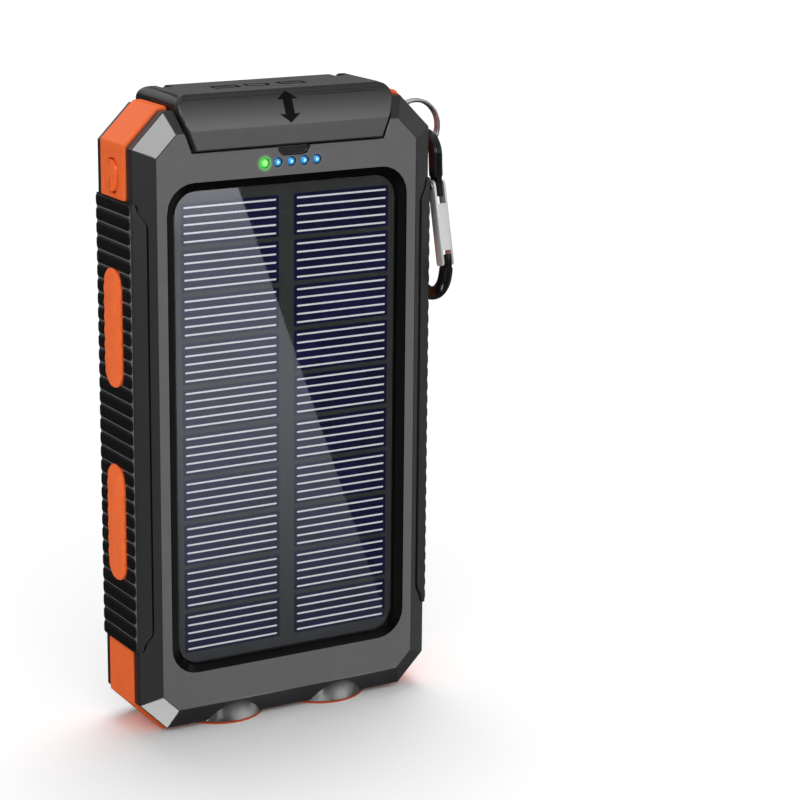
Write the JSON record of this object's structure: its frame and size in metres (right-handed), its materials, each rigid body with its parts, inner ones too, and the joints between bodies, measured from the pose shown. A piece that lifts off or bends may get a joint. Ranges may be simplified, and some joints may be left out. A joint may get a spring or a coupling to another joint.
{
  "type": "solar phone charger",
  "caption": "Rugged solar power bank: two hard shells on a mid frame, solar panel, twin torch lamps, flip cover over USB sockets, capsule compass and a carabiner.",
  "frame": {"origin": "middle of the lamp end face, on the mid frame between the two lamps, which is the face the charger stands on", "axes": "+Z from the lamp end to the socket end along the length; +X to the carabiner corner along the width; -Y is the way the solar panel looks, +Y the way the compass looks"},
  "size_m": [0.0826, 0.0228, 0.1428],
  "materials": {
    "shell_plastic": "fine satin texture",
    "cover_plastic": "satin",
    "orange_plastic": "semi-gloss",
    "black_plastic": "semi-gloss",
    "black_rubber": "matte rubber",
    "clear_laminate": "clear and glossy",
    "solar_cells": "dark blue cells with silver lines on dark board",
    "adhesive": "dull",
    "reflector": "mirror",
    "emitter": "phosphor",
    "circuit_board": "solder mask",
    "steel": "nickel plated",
    "gate_metal": "polished",
    "black_enamel": "gloss black",
    "cell_foil": "satin foil",
    "foam": "foam",
    "red_insulation": "satin",
    "black_insulation": "satin",
    "green_light": "lit indicator",
    "blue_light": "lit indicator"
  },
  "bodies": {
    "housing": {"front_shell": "shell_plastic", "rear_shell": "shell_plastic", "mid_frame": "orange_plastic", "port_panel": "black_plastic", "port_gasket": "black_rubber", "left_grip_inlay_lower": "orange_plastic", "left_grip_inlay_upper": "orange_plastic", "right_grip_inlay_lower": "orange_plastic", "right_grip_inlay_upper": "orange_plastic", "left_grip": "black_rubber", "right_grip": "black_rubber", "cover_hinge_pin": "steel", "power_switch": "black_plastic", "solar_panel_glazing": "clear_laminate", "solar_cell_board": "solar_cells", "panel_adhesive": "adhesive", "left_lamp_lens": "clear_laminate", "right_lamp_lens": "clear_laminate", "left_lamp_reflector": "reflector", "right_lamp_reflector": "reflector", "left_lamp_emitter": "emitter", "right_lamp_emitter": "emitter", "lamp_board": "circuit_board", "main_board": "circuit_board", "left_usb_a_socket": "steel", "right_usb_a_socket": "steel", "micro_usb_socket": "steel", "left_board_screw": "steel", "right_board_screw": "steel", "charge_controller": "black_plastic", "boost_inductor": "black_plastic", "front_battery_cell": "cell_foil", "rear_battery_cell": "cell_foil", "battery_foam": "foam", "battery_protection_board": "circuit_board", "battery_lead_positive": "red_insulation", "battery_lead_negative": "black_insulation", "panel_lead_positive": "red_insulation", "panel_lead_negative": "black_insulation", "lamp_lead_positive": "red_insulation", "lamp_lead_negative": "black_insulation", "indicator_light_1": "green_light", "indicator_light_2": "blue_light", "indicator_light_3": "blue_light", "indicator_light_4": "blue_light", "indicator_light_5": "blue_light", "compass_bowl": "black_plastic", "compass_pivot": "steel", "compass_dome": "clear_laminate"},
    "usb_cover": {"usb_cover": "cover_plastic"},
    "power_button": {"power_button": "orange_plastic"},
    "compass_card": {"compass_card": "black_plastic"},
    "split_ring": {"split_ring": "steel"},
    "carabiner": {"carabiner_body": "black_enamel", "gate_pin": "steel"},
    "carabiner_gate": {"carabiner_gate": "gate_metal", "gate_spring": "steel"}
  },
  "joints": [
    {"name": "cover_hinge", "type": "hinge", "parent": "housing", "child": "usb_cover", "pos_m": [0, 0.0078, 0.1398], "axis": [-1, 0, 0], "range_deg": [0, 120]},
    {"name": "power_press", "type": "slide", "parent": "housing", "child": "power_button", "axis": [1, 0, 0], "range_m": [0, 0.0004], "stiffness_N_per_m": 2500, "springref_m": -0.0003},
    {"name": "compass_spin", "type": "hinge", "parent": "housing", "child": "compass_card", "pos_m": [0, 0.0088, 0.1205], "axis": [0, 1, 0], "continuous": true},
    {"name": "ring_turn", "type": "hinge", "parent": "housing", "child": "split_ring", "pos_m": [0.0382, 0.0005, 0.1306], "axis": [0, -1, 0], "range_deg": [0, 60]},
    {"name": "carabiner_swing", "type": "hinge", "parent": "split_ring", "child": "carabiner", "pos_m": [0.0414, 0.0008, 0.1285], "axis": [0, -1, 0], "range_deg": [0, 100]},
    {"name": "gate_open", "type": "hinge", "parent": "carabiner", "child": "carabiner_gate", "pos_m": [0.0414, -0.0045, 0.1175], "axis": [1, 0, 0], "range_deg": [0, 24], "stiffness_Nm_per_rad": 0.01, "springref_deg": -20.05}
  ]
}
